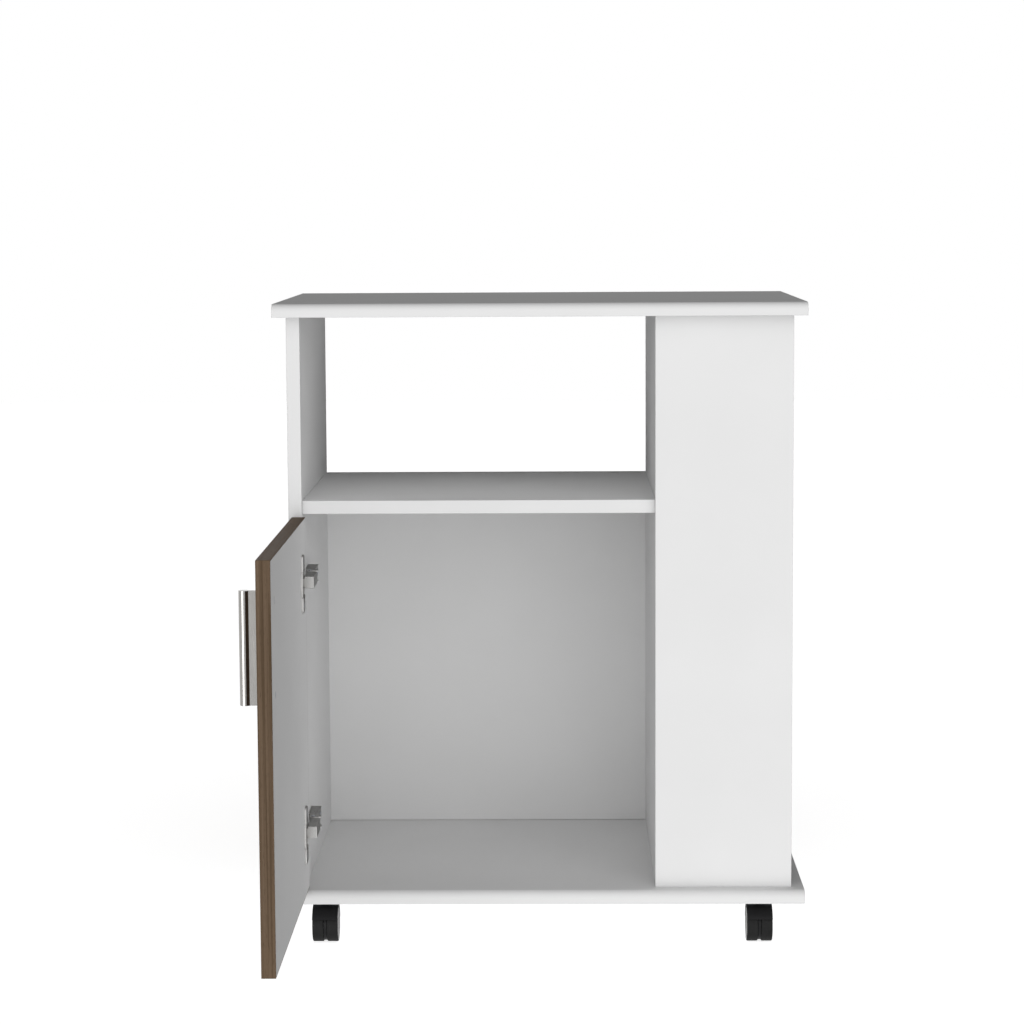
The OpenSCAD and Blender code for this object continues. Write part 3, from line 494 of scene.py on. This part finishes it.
def side_of(face, low, high, slack):
    """The side of the box that an outer face belongs to, or None for a face inside a hole."""
    centre, normal = face.calc_center_median(), face.normal
    found, most = None, FACES_OUT
    for side in SIDES:
        axis, sign, corner = wall(side, low, high)
        if normal[axis] * sign > most and abs(centre[axis] - corner[axis]) < slack:
            found, most = side, normal[axis] * sign
    return found


def board(node, banded, sizes, nosed=False):
    """A laminated board: eased edges, a thin strip of edge banding on the banded sides, raw holes."""
    film, band, core = range(3)
    low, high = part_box(node)
    walls = [wall(side, low, high) for side in banded]
    strip = sizes.board_ease + sizes.band_width
    eased = sizes.board_ease * 1.1  # a little over the rounding
    bm = merged(node)
    ease(bm, outline_edges(bm, low, high, ends=nosed), sizes.board_ease)
    for axis, sign, corner in walls:
        normal = Vector((0, 0, 0))
        normal[axis] = sign
        bmesh.ops.bisect_plane(
            bm, geom=bm.verts[:] + bm.edges[:] + bm.faces[:], dist=WELD,
            plane_co=corner - normal * strip, plane_no=normal,
        )
    for face in bm.faces:
        centre = face.calc_center_median()
        if side_of(face, low, high, eased) is None:
            rounded = nosed and centre.y < low.y + sizes.nose
            face.material_index = film if rounded else core
        else:
            edged = any(abs(centre[axis] - corner[axis]) < strip for axis, _, corner in walls)
            face.material_index = band if edged else film
    finish(node + "_board", bm, ["film", "band", "core"], node)


def lathe(profile, centre, outwards):
    """Spins a chain of (radius, distance) points about the X axis through centre."""
    bm = bmesh.new()
    verts = [bm.verts.new((centre.x + outwards * t, centre.y, centre.z + r)) for r, t in profile]
    edges = [bm.edges.new(pair) for pair in zip(verts, verts[1:])]
    bmesh.ops.spin(
        bm, geom=verts + edges, cent=centre, axis=(1, 0, 0), angle=2 * math.pi, steps=TURN_STEPS,
        use_merge=True, use_duplicate=False,
    )
    bmesh.ops.remove_doubles(bm, verts=bm.verts, dist=WELD)
    bmesh.ops.recalc_face_normals(bm, faces=bm.faces)
    return bm


# ---- operators ----


class CART_OT_stage(Operator):
    """Adds the pale floor, the soft light and the camera"""

    bl_idname = "cart.stage"
    bl_label = "Stage"

    def execute(self, context):
        scene = context.scene
        scene.view_settings.view_transform = "Standard"
        self.add_floor(scene)
        self.add_world(scene)
        for name, place, size, watts, for_metal in LAMPS:
            self.add_lamp(scene, name, place, size, watts, for_metal)
        self.add_camera(scene)
        return {"FINISHED"}

    def add_floor(self, scene):
        """A wide floor that is white to the camera except where the cart's shadow falls."""
        bm = bmesh.new()
        bmesh.ops.create_grid(bm, x_segments=4, y_segments=4, size=FLOOR_HALF)
        mesh = bpy.data.meshes.new("floor")
        bm.to_mesh(mesh)
        bm.free()
        floor = bpy.data.objects.new("floor", mesh)
        scene.collection.objects.link(floor)
        floor.visible_shadow = False
        floor.visible_diffuse = False
        floor.visible_glossy = False
        material = bpy.data.materials.new("matt_white_floor")
        material.use_nodes = True
        tree = material.node_tree
        tree.nodes.clear()
        seen = self.seen(tree)
        matt = add(tree, "BsdfDiffuse", {"Color": FLOOR_PAINT}).outputs[0]
        glow = add(tree, "Emission", {"Color": WHITE, "Strength": FLOOR_GLOW}).outputs[0]
        lit = add(tree, "AddShader", {0: matt, 1: glow}).outputs[0]
        mixed = add(tree, "MixShader", {0: seen, 1: matt, 2: lit}).outputs[0]
        add(tree, "OutputMaterial", {"Surface": mixed})
        mesh.materials.append(material)

    def seen(self, tree):
        """1 for rays from the camera and for what metal and glass show, otherwise 0."""
        path = add(tree, "LightPath").outputs
        seen = path["Is Camera Ray"]
        for ray in ("Is Glossy Ray", "Is Transmission Ray"):
            seen = add(tree, "Math", {0: seen, 1: path[ray]}, operation="MAXIMUM").outputs[0]
        return seen

    def add_world(self, scene):
        """Soft light from the front, with a trace all round."""
        world = bpy.data.worlds.new("soft_studio")
        scene.world = world
        world.use_nodes = True
        tree = world.node_tree
        tree.nodes.clear()
        way = add(tree, "TexCoord").outputs["Generated"]
        facing = add(
            tree, "VectorMath", {0: way, 1: LIGHT_FROM}, operation="DOT_PRODUCT"
        ).outputs["Value"]
        facing = add(tree, "Math", {0: facing, 1: 0.0}, operation="MAXIMUM").outputs[0]
        lobe = add(tree, "Math", {0: facing, 1: LIGHT_FOCUS}, operation="POWER").outputs[0]
        level = add(
            tree, "Math", {0: lobe, 1: LIGHT_LEVEL, 2: LIGHT_TRACE}, operation="MULTIPLY_ADD"
        ).outputs[0]
        soft = add(tree, "Background", {"Color": WHITE, "Strength": level}).outputs[0]
        white = add(tree, "Background", {"Color": WHITE, "Strength": 1.0}).outputs[0]
        mixed = add(tree, "MixShader", {0: self.seen(tree), 1: soft, 2: white}).outputs[0]
        add(tree, "OutputWorld", {"Surface": mixed})

    def add_lamp(self, scene, name, place, size, watts, for_metal):
        """An area lamp turned towards the cart, seen in metal only or lighting matt faces only."""
        data = bpy.data.lights.new(name, "AREA")
        data.shape = "RECTANGLE"
        data.size, data.size_y = size
        data.energy = watts
        lamp = bpy.data.objects.new(name, data)
        scene.collection.objects.link(lamp)
        lamp.visible_camera = False
        lamp.visible_diffuse = not for_metal
        lamp.visible_glossy = for_metal
        aim = (CART_MIDDLE - Vector(place)).to_track_quat("-Z", "Y").to_matrix().to_4x4()
        lamp.matrix_world = Matrix.Translation(place) @ aim

    def add_camera(self, scene):
        """The photograph's camera: a long lens, a little above the worktop."""
        data = bpy.data.cameras.new("photo_camera")
        data.sensor_width = CAMERA_SENSOR
        data.lens = CAMERA_LENS
        data.clip_end = CAMERA_REACH
        camera = bpy.data.objects.new("photo_camera", data)
        scene.collection.objects.link(camera)
        camera.matrix_world = (
            Matrix.Translation(CAMERA_PLACE)
            @ Matrix.Rotation(CAMERA_YAW, 4, "Z")
            @ Matrix.Rotation(math.pi / 2 - CAMERA_PITCH, 4, "X")
            @ Matrix.Rotation(CAMERA_ROLL, 4, "Z")
        )
        scene.camera = camera


class CART_OT_materials(Operator):
    """Makes every finish of the cart"""

    bl_idname = "cart.materials"
    bl_label = "Finishes"

    def execute(self, context):
        materials.update(make_materials(context.scene.cart_colours))
        return {"FINISHED"}


class CART_OT_boards(Operator):
    """Makes the carcass's boards with eased edges, edge banding and raw holes"""

    bl_idname = "cart.boards"
    bl_label = "Boards"

    def execute(self, context):
        sizes = context.scene.cart_sizes
        for node in ("top_panel", "base_panel"):
            board(node, ("-x", "+x", "+y"), sizes, nosed=True)
        board("left_side", ("-y", "+y"), sizes)
        board("divider", (), sizes)
        for node in ("front_fascia", "rear_fascia"):
            board(node, ("-x", "+x"), sizes)
        board("middle_shelf", ("-y", "+y"), sizes)
        for node in ("side_shelf_upper", "side_shelf_lower"):
            board(node, ("+x",), sizes)
        return {"FINISHED"}


class CART_OT_back_panel(Operator):
    """Makes the hardboard back panel, white inside and raw behind"""

    bl_idname = "cart.back_panel"
    bl_label = "Back panel"

    def execute(self, context):
        bm = merged("back_panel")
        for face in bm.faces:
            face.material_index = 0 if face.normal.y < FACES_FRONT else 1
        finish("back_panel_sheet", bm, ["film", "fibre"], "back_panel")
        return {"FINISHED"}


class CART_OT_door(Operator):
    """Makes the door: walnut outside, white inside, with its edge banding"""

    bl_idname = "cart.door"
    bl_label = "Door"

    def execute(self, context):
        sizes = context.scene.cart_sizes
        low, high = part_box("door_panel")
        bm = merged("door_panel")
        for face in bm.faces:
            side = side_of(face, low, high, SLACK)
            face.material_index = {"-x": 0, "+x": 1}.get(side, 2)
        finish("door_slab", bm, ["walnut", "film", "core"], "door_panel")
        low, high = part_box("door_edge_band")
        bm = merged("door_edge_band")
        ease(bm, outline_edges(bm, low, high), sizes.door_ease)
        for face in bm.faces:
            face.material_index = 1 if abs(face.normal.z) > FACES_UP else 0
        finish("door_band", bm, ["walnut_upright", "walnut_lying"], "door_edge_band")
        return {"FINISHED"}


class CART_OT_handle(Operator):
    """Makes the bar handle on its web, with its screws"""

    bl_idname = "cart.handle"
    bl_label = "Handle"

    def execute(self, context):
        sizes = context.scene.cart_sizes
        dressed("handle", "handle_bar", "handle", sizes.metal_ease)
        dressed("handle_screws", "handle_screw_pair", "zinc", sizes.small_ease)
        return {"FINISHED"}


class CART_OT_hinges(Operator):
    """Makes the two concealed hinges"""

    bl_idname = "cart.hinges"
    bl_label = "Hinges"

    def execute(self, context):
        sizes = context.scene.cart_sizes
        for level in ("upper", "lower"):
            self.add_cup(level + "_hinge_cup", sizes)
            for part, radius in (
                ("link", sizes.link_ease), ("arm", sizes.metal_ease), ("plate", sizes.metal_ease)
            ):
                node = f"{level}_hinge_{part}"
                dressed(node, node + "_stamping", "hinge", radius)
        for part in ("pin", "cup_screw", "plate_screw"):
            dressed(f"hinge_{part}s", f"hinge_{part}_set", "zinc", sizes.small_ease)
        return {"FINISHED"}

    def add_cup(self, node, sizes):
        """A cup whose flange has a round outline."""
        low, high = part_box(node)
        middle = (low + high) / 2
        bm = merged(node)
        rim = [
            e for e in sharp_edges(bm)
            if all(abs(v.co.x - high.x) < NEAR for v in e.verts)
            and (e.verts[0].co - middle).yz.length > CUP_MOUTH
        ]
        ease(bm, rim, sizes.flange_ease, segments=5)
        finish(node + "_stamping", bm, ["hinge"], node)


class CART_OT_casters(Operator):
    """Makes the casters' plates, hoods and axles"""

    bl_idname = "cart.casters"
    bl_label = "Casters"

    def execute(self, context):
        sizes = context.scene.cart_sizes
        for corner in CORNERS:
            caster = corner + "_caster"
            dressed(caster + "_plate", caster + "_top_plate", "zinc", sizes.metal_ease)
            dressed(caster + "_hood", caster + "_mudguard", "hood", sizes.nylon_ease)
            dressed(caster + "_axle", caster + "_pin", "zinc", sizes.metal_ease)
        return {"FINISHED"}


class CART_OT_wheels(Operator):
    """Makes the twin wheels: treads with round shoulders on dished hubs"""

    bl_idname = "cart.wheels"
    bl_label = "Wheels"

    def execute(self, context):
        sizes = context.scene.cart_sizes
        for corner in CORNERS:
            middle = sum((v.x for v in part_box(corner + "_caster_hood"))) / 2
            for side in ("outer", "inner"):
                self.add_wheel(corner, side, middle, sizes)
        return {"FINISHED"}

    def add_wheel(self, corner, side, middle, sizes):
        """One wheel of a twin. Its inner face is the one towards the middle of the caster."""
        tread, hub = f"{corner}_tread_{side}", f"{corner}_hub_{side}"
        low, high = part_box(tread)
        hub_low, hub_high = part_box(hub)
        outwards = 1 if (low.x + high.x) / 2 > middle else -1
        inner_x = low.x if outwards > 0 else high.x
        centre = Vector((inner_x, (low.y + high.y) / 2, (low.z + high.z) / 2))
        radius, width = (high.z - low.z) / 2, high.x - low.x
        hub_radius = (hub_high.z - hub_low.z) / 2
        self.add_tread(tread, centre, outwards, radius, hub_radius + HUB_FIT, width, sizes)
        self.add_hub(hub, centre, outwards, hub_radius, width, sizes)

    def add_tread(self, node, centre, outwards, radius, bore, width, sizes):
        """A ring with round shoulders."""
        profile = [(bore, 0), (radius, 0), (radius, width), (bore, width), (bore, 0)]
        bm = lathe(profile, centre, outwards)
        shoulders = [
            e for e in sharp_edges(bm)
            if all((v.co - centre).yz.length > radius - SLACK for v in e.verts)
        ]
        ease(bm, shoulders, sizes.tread_shoulder, segments=5)
        finish(node + "_ring", bm, ["tread"], node)

    def add_hub(self, node, centre, outwards, radius, width, sizes):
        """A disc with a rim and a sleeve behind it, and a dish and a cap on its outer face."""
        rim, dish, cap = radius - sizes.hub_rim, sizes.hub_dish, sizes.hub_cap
        hole_end = width - HUB_SKIN
        profile = [
            (0, hole_end), (AXLE_HOLE, hole_end), (AXLE_HOLE, 0), (AXLE_SLEEVE, 0),
            (AXLE_SLEEVE, width - HUB_DISC), (rim, width - HUB_DISC), (rim, HUB_STEP),
            (radius, HUB_STEP), (radius, width), (rim + RIM_SLOPE, width),
            (rim - dish, width - dish), (cap + dish, width - dish),
            (cap, width - CAP_CROWN), (cap * 0.6, width), (0, width),
        ]
        bm = lathe(profile, centre, outwards)
        ease(bm, sharp_edges(bm), HUB_EASE, segments=2)
        finish(node + "_disc", bm, ["hub"], node)


class CART_OT_fasteners(Operator):
    """Makes the cam locks, bolts, dowels, screws, nails and shelf pins"""

    bl_idname = "cart.fasteners"
    bl_label = "Fasteners"

    def execute(self, context):
        small = context.scene.cart_sizes.small_ease
        for node, name, key in (
            ("cam_locks", "cam_lock_set", "cap"), ("cam_bolts", "cam_bolt_set", "zinc"),
            ("dowels", "dowel_set", "beech"), ("base_screws", "base_screw_set", "zinc"),
            ("back_panel_nails", "nail_set", "zinc"), ("side_shelf_pins", "shelf_pin_set", "zinc"),
            ("caster_screws", "caster_screw_set", "zinc"),
        ):
            dressed(node, name, key, small)
        return {"FINISHED"}


OPERATORS = (
    CART_OT_stage, CART_OT_materials, CART_OT_boards, CART_OT_back_panel, CART_OT_door,
    CART_OT_handle, CART_OT_hinges, CART_OT_casters, CART_OT_wheels, CART_OT_fasteners,
)


class CART_PT_tools(Panel):
    """Lists the cart's steps, colours and sizes"""

    bl_label = "Microwave cart"
    bl_idname = "CART_PT_tools"
    bl_space_type = "VIEW_3D"
    bl_region_type = "UI"
    bl_category = "Cart"

    def draw(self, context):
        for operator in OPERATORS:
            self.layout.operator(operator.bl_idname)
        for group in (context.scene.cart_colours, context.scene.cart_sizes):
            box = self.layout.box()
            for name in group.__annotations__:
                box.prop(group, name)


CLASSES = (CartColours, CartSizes, *OPERATORS, CART_PT_tools)


def register():
    for cls in CLASSES:
        bpy.utils.register_class(cls)
    bpy.types.Scene.cart_colours = PointerProperty(type=CartColours)
    bpy.types.Scene.cart_sizes = PointerProperty(type=CartSizes)


def unregister():
    del bpy.types.Scene.cart_sizes
    del bpy.types.Scene.cart_colours
    for cls in reversed(CLASSES):
        bpy.utils.unregister_class(cls)


def main():
    register()
    for operator in OPERATORS:
        getattr(bpy.ops.cart, operator.bl_idname.split(".")[1])()


if __name__ == "__main__":
    main()
